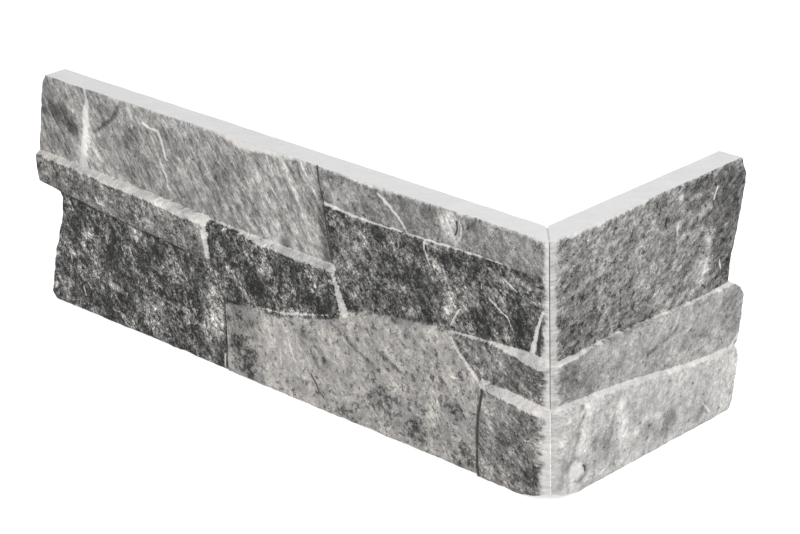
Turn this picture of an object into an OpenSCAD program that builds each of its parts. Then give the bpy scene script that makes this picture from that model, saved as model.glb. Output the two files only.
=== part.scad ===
// Outside corner piece for ceramic stone-look wall cladding.
// Two relief-moulded legs are cut at 45 degrees, bonded along the mitre and ground at the outer corner.
// The origin is where the two back planes cross at the foot of the wall's corner, with Z up that corner.
// The long leg runs towards -X with its back at y = 0, the short leg towards +Y with its back at x = 0.

/* [Legs] */
// Height of both legs
height = 150; // [142:1:180]
// Longest reach of the long leg, along its outer face from the corner
long_reach = 420; // [370:1:600]
// Longest reach of the short leg, along its outer face from the corner
short_reach = 163; // [150:1:300]
// Thickness of a leg from its back to its mean stone face
body_t = 16; // [14:0.5:24]
// Radius of the worn corners of a leg's outline
end_r = 2; // [0.5:0.5:4]

/* [Stones] */
// Slope of a ledge, measured along the face
ledge_run = 2.8; // [1:0.1:5]
// Depth that a ledge drops towards the stone behind it
ledge_drop = 3.8; // [1:0.1:5]
// Width of the worn edge of a stone
chip_run = 1.2; // [0.4:0.1:3]
// Depth of the worn edge of a stone
chip_drop = 1.3; // [0.4:0.1:2]
// Depth of the hewn marks on the stone faces
hew = 0.5; // [0:0.1:1]
// Spacing of the hewn marks
hew_pitch = 9; // [7:0.5:14]

/* [Corner] */
// Thickness of the adhesive line in the mitre
bond_t = 0.5; // [0.3:0.1:1.5]
// How far the outer corner is ground back from the mean face
ground_back = 1.4; // [0.8:0.1:3]
// Angle between the ground strip and the face
ground_angle = 30; // [20:1:40]
// Radius of the worn shoulder at the inner corner of each leg
shoulder_r = 5; // [1:0.5:10]
// How far the adhesive stays behind the ground corner where the seam stands open
seam_open = 1.2; // [0.6:0.1:4]
// How far the adhesive stays behind the ground corner where the seam is filled
seam_filled = 0.1; // [0.1:0.1:0.5]
// Height up to which the seam is filled
seam_fill_top = 56; // [20:1:100]
// Width of the chip at the foot of the outer corner
foot_chip_w = 20; // [8:1:30]
// Height of the chip at the foot of the outer corner
foot_chip_h = 6; // [2:0.5:12]

/* [Stone heights at the corner] */
// How far the top stones stand out of the mean face
top_proud = -0.5; // [-1:0.1:1]
// How far the middle stones stand out, at their foot
middle_proud = 1; // [0:0.1:3]
// How far the middle stones lean out further, at their head
middle_lean = 1.2; // [0:0.1:3]
// How far the lowest stones stand out, at their foot
low_proud = 1.2; // [0:0.1:3]
// How far the lowest stones lean out further, at their head
low_lean = 2.3; // [0:0.1:3]

/* [Hidden] */

// How far a stone runs on under a neighbour that stands proud of it, or past the leg's outline
tuck = 3;
// How much further each stone runs on than the one before, so that no two hidden sides share a plane
tuck_step = 0.2;
// Depth of a stone behind the lowest corner of its face
root = 8;
// Depth of the body's own front behind the mean face, under every stone
body_back = 5;
// How far a rough shape stands past the faces that trim it
spare = 10;
// Distance from the mitre plane to a leg, measured along the leg
mitre_gap = bond_t / sqrt(2);
// Where a leg's back ends at the mitre, measured along the leg from the outer corner
back_start = body_t + mitre_gap;
// Depth of the ground corner
ground_t = body_t - ground_back;
// How much of the back and of the mitre face the worn shoulder takes
shoulder_cut = shoulder_r * tan(22.5);

// Edge styles of a stone: where it starts from its joint line, where its face begins, and the drop between
LEDGE = [0, ledge_run, ledge_drop];
CHIP = [0, chip_run, chip_drop];
TUCK = [-tuck, 0, 0];

// Joint lines along the legs, as [distance from the outer corner, height]
floor_line = [[0, 0], [1, 0]];
head = [[0, height], [1, height]];
long_ledge = [[260, 95], [330, 97.4], [424, 99]];
long_near_ledge = [[150, 93.4], [275, 94.2]];
// Foot of the pale top stone, behind both ledges
long_ledge_line = [[150, 93], [260, 94], [330, 97], [424, 98.6]];
long_slab_foot = [[262, 67.5], [300, 70.2], [352, 72.7], [380, 75.2], [424, 78.5]];
long_top_joint = [[0, 129], [30, 129.5], [60, 129], [100, 128], [130, 127.5], [165, 129]];
long_wide_head = [[48, 80], [72, 79.5], [90, 78.5], [130, 72], [150, 68.5], [165, 62], [200, 53], [252, 46]];
long_corner_ledge = [[0, 84], [20, 84], [50, 81.5], [75, 79]];
long_low_ledge = [[0, 56.5], [50, 58.5]];
short_top_joint = [[0, 81], [50, 81.8], [80, 80.3], [120, 78.3], [165, 79.5]];
short_ledge = [[0, 56.5], [30, 54], [50, 52], [70, 49.5], [110, 43], [130, 41], [160, 39.5]];
// Foot of the wide dark stone, over the corner stone and then over the wide pale one
long_dark_foot = concat(
    [for (p = long_corner_ledge) if (p[0] < 60) p],
    [for (p = long_wide_head) if (p[0] > 60) p]
);

// Joint lines up the legs, as [height, distance from the outer corner]
past_corner = [[0, -5], [1, -5]];
long_top_split = [[88, 160], [105, 161.5], [115, 162.5], [130, 164.5], [140, 167.5], [150, 168.5]];
long_dark_split = [[66, 156], [88, 161], [105, 162.5], [115, 163.5], [132, 166]];
long_slab_split = [[44, 251], [52, 256], [66, 262], [95, 263.5]];
long_slab_end = [[62, 152], [92, 159]];
long_low_split = [[0, 253], [12, 252], [44, 252]];
long_corner_split = [[57, 51], [63, 59], [70, 65], [76, 69], [82, 72]];
long_low_end = [[0, 52.5], [25, 52.5], [40, 51], [58, 49]];

// Toothed ends of the legs, from the foot up, as [distance back from the longest reach, height]
long_teeth = [
    [7, 0], [4, 4], [6, 15], [10, 32], [15, 48], [20, 60], [21, 72], [19, 75.5],
    [2, 78.5], [1, 86], [1.5, 95], [2.5, 108], [5.5, 120], [7.5, 130], [9.5, 140], [13.5, height]
];
short_teeth = [
    [12, 0], [9, 5], [8, 15], [6, 22], [5, 32], [7, 38], [5, 41], [3, 46],
    [1, 60], [0, 68], [3, 73], [13, 80], [12, 90], [10, 98], [6, 110], [3, 122], [0, 135], [0, 140], [3, height]
];

// A leg's end as a joint line
function past_end(reach) = [[0, reach], [1, reach]];
// Where a stone's edge starts, measured from its joint line
function start(style, order) = style[0] < 0 ? style[0] - order * tuck_step : style[0];

// A stone's grid steps in one direction, as [share of the way, distance past it]
function steps(way, low, high, order) =
    let (n = max(2, round(way / hew_pitch)))
    concat(
        [[0, start(low, order)]],
        [for (k = [0:n]) [k / n, low[1] * (1 - k / n) - high[1] * k / n]],
        [[1, -start(high, order)]]
    );

// Place of a step between two joint lines, at a point along them
function between(low, high, step, at) =
    let (a = lookup(at, low), b = lookup(at, high))
    a + (b - a) * step[0] + step[1];

// Where a step along the leg crosses a step up it, found by going back and forth between the joint lines
function crossing(near, far, lower, upper, a, b) =
    let (
        h0 = between(lower, upper, b, between(near, far, a, height / 2)),
        h1 = between(lower, upper, b, between(near, far, a, h0)),
        u = between(near, far, a, h1)
    )
    [u, between(lower, upper, b, u)];

// A value worked out from a stone's corners: near-low, far-low, near-high and far-high
function blend(c, a, b) = (c[0] * (1 - a) + c[1] * a) * (1 - b) + (c[2] * (1 - a) + c[3] * a) * b;

// Two triangles for a cell with corners a, b, c and d
function cell(a, b, c, d) = [[a, b, c], [a, c, d]];

// A stone is a loft from its root up to its hewn face, between four joint lines.
// styles are its near, far, lower and upper edges, and proud is how far its face's corners stand out.
module stone(near, far, lower, upper, styles, proud, order, tone) {
    middle_h = (lookup(lookup(height / 2, near), lower) + lookup(lookup(height / 2, near), upper)) / 2;
    near_u = lookup(middle_h, near);
    far_u = lookup(middle_h, far);
    cols = steps(far_u - near_u, styles[0], styles[1], order);
    rows = steps(lookup(far_u, upper) - lookup(far_u, lower), styles[2], styles[3], order);
    m = len(cols);
    n = len(rows);
    marks = rands(-hew, hew, m * n, order + 1);
    drop_u = [for (i = [0:m - 1]) i == 0 ? styles[0][2] : i == m - 1 ? styles[1][2] : 0];
    drop_v = [for (j = [0:n - 1]) j == 0 ? styles[2][2] : j == n - 1 ? styles[3][2] : 0];
    face = [for (i = [0:m - 1]) for (j = [0:n - 1])
        let (
            p = crossing(near, far, lower, upper, cols[i], rows[j]),
            out = blend(proud, cols[i][0], rows[j][0]) + marks[i * n + j] - max(drop_u[i], drop_v[j])
        )
        [p[0], -body_t - out, p[1]]
    ];
    bed = [for (p = face) [p[0], root - body_t - min(proud), p[2]]];
    b = m * n;
    // The bed is cut into strips, which meet the points of the near and far sides
    function side(i) = i == 0 || i == m - 1
        ? [for (j = [0:n - 1]) b + i * n + j]
        : [b + i * n, b + i * n + n - 1];
    function strip(l, r) = concat(
        [for (k = [0:len(l) - 2]) [l[k], r[0], l[k + 1]]],
        [for (k = [0:len(r) - 2]) [l[len(l) - 1], r[k], r[k + 1]]]
    );
    faces = concat(
        [for (i = [0:m - 2]) for (j = [0:n - 2])
            each cell(i * n + j, i * n + j + 1, (i + 1) * n + j + 1, (i + 1) * n + j)],
        [for (i = [0:m - 2]) each strip(side(i), side(i + 1))],
        [for (i = [0:m - 2]) each cell(i * n, (i + 1) * n, b + (i + 1) * n, b + i * n)],
        [for (i = [1:m - 1]) each cell(i * n - 1, b + i * n - 1, b + (i + 1) * n - 1, (i + 1) * n - 1)],
        [for (j = [0:n - 2]) each cell(j, b + j, b + j + 1, j + 1)],
        [for (j = [b - n:b - 2]) each cell(j, j + 1, b + j + 1, b + j)]
    );
    color(tone) polyhedron(concat(face, bed), faces);
}

// The nine stones of the long leg, from the top left to the corner
module long_stones() {
    stone(long_top_split, past_end(long_reach), long_ledge_line, head,
        [TUCK, TUCK, TUCK, TUCK], [-1, -1, -0.5, 0], 0, "darkgray");
    stone(past_corner, long_top_split, long_top_joint, head,
        [TUCK, CHIP, TUCK, TUCK], [top_proud, 0.6, top_proud, 0.6], 1, "gray");
    stone(past_corner, long_dark_split, long_dark_foot, long_top_joint,
        [TUCK, CHIP, TUCK, CHIP], [top_proud, -2.5, top_proud + 0.3, 1.5], 2, "dimgray");
    stone(long_slab_split, past_end(long_reach), long_slab_foot, long_ledge,
        [CHIP, TUCK, CHIP, LEDGE], [3, 1.5, 4, 3], 3, "gray");
    stone(long_slab_end, long_slab_split, long_wide_head, long_near_ledge,
        [LEDGE, TUCK, TUCK, LEDGE], [1.5, 0.3, 2.5, 1.3], 4, "dimgray");
    stone(long_low_split, past_end(long_reach), floor_line, long_slab_foot,
        [TUCK, TUCK, TUCK, TUCK], [-0.6, 0, -0.4, -0.5], 5, "dimgray");
    stone(long_low_end, long_low_split, floor_line, long_wide_head,
        [TUCK, CHIP, TUCK, CHIP], [0, 0.5, 0.3, 0.8], 6, "silver");
    stone(past_corner, long_corner_split, long_low_ledge, long_corner_ledge,
        [TUCK, TUCK, TUCK, LEDGE], [middle_proud, -1, middle_proud + middle_lean, -0.3], 7, "gray");
    stone(past_corner, long_low_end, floor_line, long_low_ledge,
        [TUCK, CHIP, TUCK, LEDGE], [low_proud, 2, low_proud + low_lean, 3], 8, "darkgray");
}

// The three stones of the short leg, from the top down
module short_stones() {
    stone(past_corner, past_end(short_reach), short_top_joint, head,
        [TUCK, TUCK, TUCK, TUCK], [top_proud, -0.3, top_proud, 0], 0, "gray");
    stone(past_corner, past_end(short_reach), short_ledge, short_top_joint,
        [TUCK, TUCK, TUCK, CHIP], [middle_proud, 0.5, middle_proud + middle_lean, 1], 1, "darkgray");
    stone(past_corner, past_end(short_reach), floor_line, short_ledge,
        [TUCK, TUCK, TUCK, LEDGE], [low_proud, 0.9, low_proud + low_lean, 2], 2, "lightgray");
}

// Upright outline of a leg, as [distance from the outer corner, height]
module outline(reach, teeth) {
    offset(r = end_r, $fn = 32) offset(delta = -end_r) polygon(concat(
        [[-spare, foot_chip_h], [0, foot_chip_h], [foot_chip_w / 2, foot_chip_h * 0.4], [foot_chip_w, 0]],
        [for (p = teeth) [reach - p[0], p[1]]],
        [[-spare, height]]
    ));
}

// Plan of a leg: a flat back, a worn shoulder, the mitre face and the ground strip
module plan(reach) {
    side = shoulder_cut / sqrt(2);
    difference() {
        polygon([
            [back_start, 0], [back_start - ground_t, -ground_t],
            [back_start - ground_t + spare, -ground_t - spare * tan(ground_angle)],
            [reach + spare, -ground_t - spare * tan(ground_angle)], [reach + spare, 0]
        ]);
        difference() {
            translate([back_start, 0]) polygon([
                [shoulder_cut, 0], [shoulder_cut, 1], [-side - 0.5, 1],
                [-side - 0.5, -side + 0.5], [-side, -side]
            ]);
            translate([back_start + shoulder_cut, -shoulder_r]) circle(shoulder_r, $fn = 96);
        }
    }
}

// A leg lies along +X from the outer corner with its back at y = 0: it is what its plan, its outline and its
// stones on their body have in common
module leg(reach, teeth) {
    intersection() {
        linear_extrude(height + spare) plan(reach);
        rotate([90, 0, 0]) translate([0, 0, -spare]) linear_extrude(body_t + 3 * spare) outline(reach, teeth);
        union() {
            translate([-spare - 1, body_back - body_t, -spare - 1])
                cube([reach + 3 * spare, body_t, height + 3 * spare]);
            children();
        }
    }
}

module long_leg() {
    translate([body_t, 0, 0]) mirror([1, 0, 0]) leg(long_reach, long_teeth) long_stones();
}

module short_leg() {
    translate([0, -body_t, 0]) rotate([0, 0, 90]) leg(short_reach, short_teeth) short_stones();
}

// The adhesive stands in the mitre, drawn in its own plane as [distance out along the mitre, height]
module mitre_bond() {
    inner = shoulder_cut / sqrt(2) + bond_t;
    filled = ground_t - seam_filled;
    open = ground_t - seam_open;
    out = sqrt(2);
    color("gray") rotate([0, 0, -45]) rotate([90, 0, 0])
        linear_extrude(bond_t, center = true) polygon([
            [inner * out, foot_chip_h], [filled * out, foot_chip_h], [filled * out, seam_fill_top - seam_open],
            [open * out, seam_fill_top], [open * out, height], [inner * out, height]
        ]);
}

long_leg();
short_leg();
mitre_bond();
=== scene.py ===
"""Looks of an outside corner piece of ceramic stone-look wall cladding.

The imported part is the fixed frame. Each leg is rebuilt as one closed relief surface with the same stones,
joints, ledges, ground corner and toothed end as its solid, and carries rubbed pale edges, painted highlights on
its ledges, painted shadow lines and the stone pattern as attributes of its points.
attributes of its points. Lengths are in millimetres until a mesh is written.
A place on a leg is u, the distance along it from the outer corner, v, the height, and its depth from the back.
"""

import logging
import math
from dataclasses import dataclass
from enum import Enum
from typing import Any, ClassVar

import bpy
import numpy as np
from mathutils import Matrix, Vector


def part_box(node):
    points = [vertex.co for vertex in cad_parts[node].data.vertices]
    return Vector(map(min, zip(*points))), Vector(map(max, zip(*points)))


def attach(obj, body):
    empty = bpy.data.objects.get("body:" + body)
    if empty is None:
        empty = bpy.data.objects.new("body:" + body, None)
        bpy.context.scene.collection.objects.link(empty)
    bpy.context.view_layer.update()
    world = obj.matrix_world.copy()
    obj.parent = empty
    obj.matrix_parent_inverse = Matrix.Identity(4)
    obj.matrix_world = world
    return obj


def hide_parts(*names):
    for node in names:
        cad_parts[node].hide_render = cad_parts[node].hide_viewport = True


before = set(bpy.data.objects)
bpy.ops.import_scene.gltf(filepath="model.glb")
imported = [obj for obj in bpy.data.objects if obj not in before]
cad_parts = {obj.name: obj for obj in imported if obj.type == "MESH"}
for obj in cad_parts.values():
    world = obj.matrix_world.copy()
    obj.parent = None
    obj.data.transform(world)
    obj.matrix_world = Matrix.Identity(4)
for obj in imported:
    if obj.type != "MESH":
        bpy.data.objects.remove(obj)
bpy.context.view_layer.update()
MM = 0.001

Array = np.ndarray
Line = tuple[tuple[float, float], ...]
log = logging.getLogger("corner_piece")


def along(line: Line, at: Array) -> Array:
    """Read a joint line at many places, with straight runs between its points.

    Args:
        line: Points of the line as (place, value), in order of place.
        at: Places to read it at.

    Returns:
        The values at those places, held at the line's ends.
    """
    places, values = np.array(line).T
    return np.interp(at, places, values)


def rough(a: Array, b: Array, size: float, seed: int) -> Array:
    """Smooth random heights from -1 to 1.

    Heights on a square lattice are joined across each cell by the step t*t*(3 - 2*t) in both directions.

    Args:
        a: First coordinate.
        b: Second coordinate.
        size: Width of a lattice cell.
        seed: Picks the lattice.

    Returns:
        The height at each place.
    """
    table = np.random.default_rng(seed).uniform(-1.0, 1.0, (256, 256))
    p, q = a / size, b / size
    i, j = np.floor(p).astype(int), np.floor(q).astype(int)
    s, t = p - i, q - j
    s, t = s * s * (3 - 2 * s), t * t * (3 - 2 * t)
    i, j, i1, j1 = i % 256, j % 256, (i + 1) % 256, (j + 1) % 256
    low = table[i, j] * (1 - s) + table[i1, j] * s
    high = table[i, j1] * (1 - s) + table[i1, j1] * s
    return low * (1 - t) + high * t


def distance(path: Line, widths: tuple[float, ...], a: Array, b: Array) -> Array:
    """Distance to a drawn line in units of its own half width.

    For each run of the line, the nearest point's share along the run is clipped to 0..1, and the half width
    there is read between the widths at its two ends.

    Args:
        path: Points of the line.
        widths: Half width at each point, or one for all of them.
        a: First coordinate.
        b: Second coordinate.

    Returns:
        The smallest distance divided by half width.
    """
    points = np.array(path, float)
    half = np.array(widths if len(widths) > 1 else widths * len(path), float)
    best = np.full(a.shape, np.inf)
    for (p, q, wp, wq) in zip(points[:-1], points[1:], half[:-1], half[1:]):
        run = q - p
        share = np.clip(((a - p[0]) * run[0] + (b - p[1]) * run[1]) / (run @ run), 0, 1)
        away = np.hypot(a - p[0] - share * run[0], b - p[1] - share * run[1])
        best = np.minimum(best, away / (wp + (wq - wp) * share))
    return best


class Edge(Enum):
    """A stone's edge: how far inside its joint line it starts, the width of its slope and its drop."""

    LEDGE = (0.0, 2.8, 3.8)
    CHIP = (0.0, 1.2, 1.3)
    TUCK = (-3.0, 0.1, 0.0)


class Ink(Enum):
    """What a drawn line does to the stone: a crisp pale line for veins, rubbed edges and painted highlights; a crisp
    dark line for cracks, joints and painted shadow lines; a soft change of tone, also used for painted shade beside a
    joint.
    """

    PALE = "pale"
    DARK = "dark"
    SOFT = "soft"


@dataclass(frozen=True)
class StoneLook:
    """Finish of one stone's face, as shares from 0 to 1.

    Attributes:
        tone: Mean brightness as the eye reads it.
        warm: Share of the warm tint.
        fine: Contrast of the grain.
        blotch: Contrast of the wide clouds.
        streak: Contrast of the layered streaks.
        cross: Contrast of the streaks in the leg's other direction.
        flake: Contrast of the crystal flakes.
        spark: How many small bright specks it has.
        pepper: How many dark specks it has.
        hewn: Height of the hewn relief, in millimetres.
    """

    tone: float
    warm: float = 0.3
    fine: float = 0.08
    blotch: float = 0.03
    streak: float = 0.0
    cross: float = 0.0
    flake: float = 0.0
    spark: float = 0.0
    pepper: float = 0.0
    hewn: float = 0.5


@dataclass(frozen=True)
class Stone:
    """One stone of the relief, between four joint lines.

    Attributes:
        name: The maker's name for it.
        near: Joint line towards the corner, as (height, distance from the corner).
        far: Joint line away from the corner, in the same way.
        lower: Joint line below, as (distance from the corner, height).
        upper: Joint line above, in the same way.
        edges: Its near, far, lower and upper edges.
        proud: How far it stands out of the mean face at near-low, far-low, near-high and far-high.
        look: Its finish.
        worn_and_lit: Width of the pale band along its near, far, lower and upper edges, read like the joint lines. It
            is rubbed pale body, and on upward-facing ledges also a painted highlight.
    """

    name: str
    near: Line
    far: Line
    lower: Line
    upper: Line
    edges: tuple[Edge, Edge, Edge, Edge]
    proud: tuple[float, float, float, float]
    look: StoneLook
    worn_and_lit: tuple[Line, Line, Line, Line] = ((), (), (), ())

    def insets(self, u: Array, v: Array) -> Array:
        """Distance inside each of the four joint lines.

        Args:
            u: Distance along the leg.
            v: Height.

        Returns:
            One row for each edge.
        """
        return np.stack(
            [
                u - along(self.near, v),
                along(self.far, v) - u,
                v - along(self.lower, u),
                along(self.upper, u) - v,
            ]
        )

    def height(self, u: Array, v: Array, waver: Array, relief: Array) -> Array:
        """How far the stone stands out of the mean face.

        The four corner values are mixed by the shares across and up the stone, the relief is added, and the
        edge with the largest fall takes drop * (1 - inset / run) ** 1.4 away. Outside the stone it is -inf.

        Args:
            u: Distance along the leg.
            v: Height.
            waver: How far the edges stray from their joint lines.
            relief: Hewn relief, to be scaled by the finish.

        Returns:
            The height at each place.
        """
        inset = self.insets(u, v)
        a = np.clip(inset[0] / np.maximum(inset[0] + inset[1], 1), 0, 1)
        b = np.clip(inset[2] / np.maximum(inset[2] + inset[3], 1), 0, 1)
        low = self.proud[0] * (1 - a) + self.proud[1] * a
        high = self.proud[2] * (1 - a) + self.proud[3] * a
        face = low * (1 - b) + high * b
        fall = np.zeros_like(u)
        outside = np.zeros(u.shape, bool)
        for distance_in, edge in zip(inset, self.edges):
            start, run, drop = edge.value
            stray = distance_in + (waver if drop else 0)
            fall = np.maximum(fall, drop * (1 - np.clip(stray / run, 0, 1)) ** 1.4)
            outside |= stray < start
        hewn = relief * self.look.hewn * (1 - 0.85 * np.clip(fall / 1.5, 0, 1))
        return np.where(outside, -np.inf, face + hewn - fall)

    def wear_and_highlight(self, u: Array, v: Array, waver: Array) -> Array:
        """Signed distance inside the pale band along the stone's edges: rubbed pale body, which on upward-facing ledges
        is also a painted highlight.

        With i the inset from the banded edge and w the width of the band there, it is the smallest of
        0.6 * (w - i), 2 * i + 0.6 and the inset from the other edges, so that it ends softly inside the stone
        and crisply on the joint line.

        Args:
            u: Distance along the leg.
            v: Height.
            waver: How far the pale band strays.

        Returns:
            The distance, at the edge where it is largest.
        """
        inset = self.insets(u, v)
        best = np.full(u.shape, -9.0)
        for k, width in enumerate(self.worn_and_lit):
            if width:
                inner = 0.6 * (along(width, v if k < 2 else u) * (1 + 0.4 * waver) - inset[k])
                others = np.delete(inset, k, 0).min(0) + 0.6
                best = np.maximum(best, np.minimum(np.minimum(inner, 2 * inset[k] + 0.6), others))
        return best


@dataclass(frozen=True)
class Mark:
    """A line drawn on a leg's face, such as a vein, a crack, a painted shadow line or a painted highlight.

    Attributes:
        ink: What the line does.
        path: Its points on the mean face.
        widths: Half width at each point, or one for all.
        strength: Strength of a crisp line, or the change of tone of a soft one.
        carve: Depth that it cuts into the face.
    """

    ink: Ink
    path: Line
    widths: tuple[float, ...] = (0.6,)
    strength: float = 1.0
    carve: float = 0.0


@dataclass(frozen=True)
class Patch:
    """A soft oval on a leg's face where the stone changes.

    Attributes:
        centre: Its middle on the mean face.
        radii: Its half width and half height.
        tone: Change of brightness.
        spark: Change of the bright specks.
        pepper: Change of the dark specks.
        lean: Degrees that it leans away from the corner.
        streak: Change of the streaks.
    """

    centre: tuple[float, float]
    radii: tuple[float, float]
    tone: float = 0.0
    spark: float = 0.0
    pepper: float = 0.0
    lean: float = 0.0
    streak: float = 0.0

    def share(self, a: Array, b: Array) -> Array:
        """Weight of the patch, exp(-r**4) with r the distance in units of its leaning radii.

        Args:
            a: Distance along the leg.
            b: Height.

        Returns:
            The weight at each place.
        """
        turn = math.radians(self.lean)
        x, y = a - self.centre[0], b - self.centre[1]
        p = (x * math.cos(turn) - y * math.sin(turn)) / self.radii[0]
        q = (x * math.sin(turn) + y * math.cos(turn)) / self.radii[1]
        return np.exp(-((p * p + q * q) ** 2))


class Wall(Enum):
    """Which wall a leg covers, as the rows that take (u, depth, v, 1) to x, y and z."""

    LONG = ((-1, 0, 0, 16), (0, -1, 0, 0), (0, 0, 1, 0))
    SHORT = ((0, 1, 0, 0), (1, 0, 0, -16), (0, 0, 1, 0))


@dataclass
class Leg:
    """One relief-moulded leg of the corner piece.

    Attributes:
        piece: Name of the Blender piece.
        node: CAD node that it stands for.
        wall: Which wall it covers.
        reach: Longest reach from the outer corner.
        pitch: Spacing of the surface's points.
        lean: Degrees from upright that the layers lean away from the corner.
        cross: The same for the other direction of layers.
        seed: Picks the random relief.
        height: Height of the leg.
        body: Depth of the mean face.
        ground: Depth of the ground corner.
        ground_slope: Rise of the ground strip for each millimetre along the leg.
        mitre: Where the mitre plane meets the back.
        shoulder: Radius of the worn inner corner.
        joint: Height of the bottom of the joints, from the mean face.
    """

    piece: str
    node: str
    wall: Wall
    reach: float
    pitch: float
    lean: float
    cross: float
    seed: int
    height: float = 150.0
    body: float = 16.0
    ground: float = 14.6
    ground_slope: float = math.tan(math.radians(30))
    mitre: float = 16.0 + 0.5 / math.sqrt(2)
    shoulder: float = 5.0
    joint: float = -2.6

    # Shares of the way from the face to the back at which the sides have rings of points
    RINGS: ClassVar[tuple[float, ...]] = (0.035, 0.09, 0.2, 0.35, 0.5, 0.65, 0.8, 0.9, 0.97, 1.0)
    # What each point carries for the stone's colour, painted highlights and painted shadow lines among them
    FIELDS: ClassVar[tuple[str, ...]] = (
        "pale", "dark", "body", "tone", "warm", "fine", "blotch", "streak", "cross", "flake", "spark", "pepper", "saw",
        "rim",
    )

    def stones(self) -> tuple[Stone, ...]:
        """The leg's stones."""
        raise NotImplementedError

    def marks(self) -> tuple[Mark, ...]:
        """The lines drawn on the leg."""
        raise NotImplementedError

    def patches(self) -> tuple[Patch, ...]:
        """The patches on the leg."""
        raise NotImplementedError

    def teeth(self) -> Line:
        """The toothed end, as (height, distance back from the longest reach)."""
        raise NotImplementedError

    def strip(self) -> Line:
        """How far the bare ground strip shows from the corner, as (height, width on the mean face)."""
        raise NotImplementedError

    def bare(self) -> Line:
        """How far the bare body shows below the top edge, as (distance from the corner, depth)."""
        raise NotImplementedError

    @property
    def start(self) -> float:
        """Where the ground corner meets the mitre, measured along the leg."""
        return self.mitre - self.ground

    def near_end(self, depth: float) -> float:
        """Where the leg begins at a depth: on the mitre plane, or on the arc of the worn shoulder near the back.

        Args:
            depth: Depth from the back.

        Returns:
            Distance along the leg.
        """
        cut = self.shoulder * math.tan(math.radians(22.5))
        if depth >= cut / math.sqrt(2):
            return self.mitre - depth
        return self.mitre + cut - math.sqrt(self.shoulder**2 - (self.shoulder - depth) ** 2)

    def place(self, u: Array, v: Array, depth: float) -> tuple[Array, Array]:
        """Fit a flat layout to the leg's outline at a depth.

        The last 45 mm are drawn in to the toothed end, the first 60 mm move with the mitre, and the lowest
        30 mm rise over the chip at the foot of the corner.

        Args:
            u: Distance along a leg with straight ends.
            v: Height on it.
            depth: Depth that sets where the mitre is.

        Returns:
            The fitted distance and height.
        """
        crumble = 0.35 * rough(v, v * 0, 5.0, self.seed + 40) + 0.25 * rough(v, v * 0 + depth, 1.7, self.seed + 41)
        end = -along(self.teeth(), v) - 0.5 + crumble
        shift = end * np.clip((u - self.reach + 45) / 45, 0, 1)
        shift = shift + (self.near_end(depth) - self.start) * np.clip(1 - (u - self.start) / 60, 0, 1)
        fitted = u + shift
        foot = along(((0, 6), (10, 2.4), (20, 0)), fitted)
        foot = foot + 0.35 + 0.35 * rough(fitted, fitted * 0, 4.0, self.seed + 42)
        head = 0.15 + 0.15 * rough(fitted, fitted * 0, 9.0, self.seed + 43)
        low = foot * np.clip(1 - v / 30, 0, 1)
        high = head * np.clip((v - self.height + 10) / 10, 0, 1)
        return fitted, v + low - high

    def columns(self) -> Array:
        """Places of the surface's columns, closer together at the ground corner."""
        fine = np.arange(self.start, 10, min(self.pitch, 0.5))
        return np.append(fine, np.linspace(10, self.reach, round((self.reach - 10) / self.pitch) + 1))

    def rows(self) -> Array:
        """Heights of the surface's rows."""
        return np.linspace(0, self.height, round(self.height / self.pitch) + 1)

    def relief(self, u: Array, v: Array) -> Array:
        """Hewn relief from about -1 to 1: layers along the streaks over lumps of three sizes."""
        turn = math.radians(self.lean)
        across = u * math.cos(turn) - v * math.sin(turn)
        down = u * math.sin(turn) + v * math.cos(turn)
        layers = rough(across, down / 6, 2.2, self.seed + 1)
        return (
            0.5 * rough(u, v, 11.0, self.seed)
            + 0.35 * rough(u, v, 4.5, self.seed + 2)
            + 0.22 * rough(u, v, 2.0, self.seed + 3)
            + 0.25 * layers
        )

    def face(self, u: Array, v: Array) -> tuple[Array, dict[str, Array]]:
        """The stone face: its depth and what each point carries.

        The highest stone wins at each place, cracks are carved out of it, and the ground strip
        ground + (u - start) * slope cuts off what stands past it at the corner.

        Args:
            u: Distance along the leg.
            v: Height.

        Returns:
            The depth from the back and the fields by name.
        """
        stones = self.stones()
        waver = 0.3 * rough(u, v, 9.0, self.seed + 10) + 0.15 * rough(u, v, 3.0, self.seed + 11)
        relief = self.relief(u, v)
        heights = np.stack([s.height(u, v, waver, relief) for s in stones])
        owner = heights.argmax(0)
        depth = self.body + np.maximum(heights.max(0), self.joint)
        fields = {
            name: np.array([getattr(s.look, name) for s in stones])[owner]
            for name in ("tone", "warm", "fine", "blotch", "streak", "cross", "flake", "spark", "pepper")
        }
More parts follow.
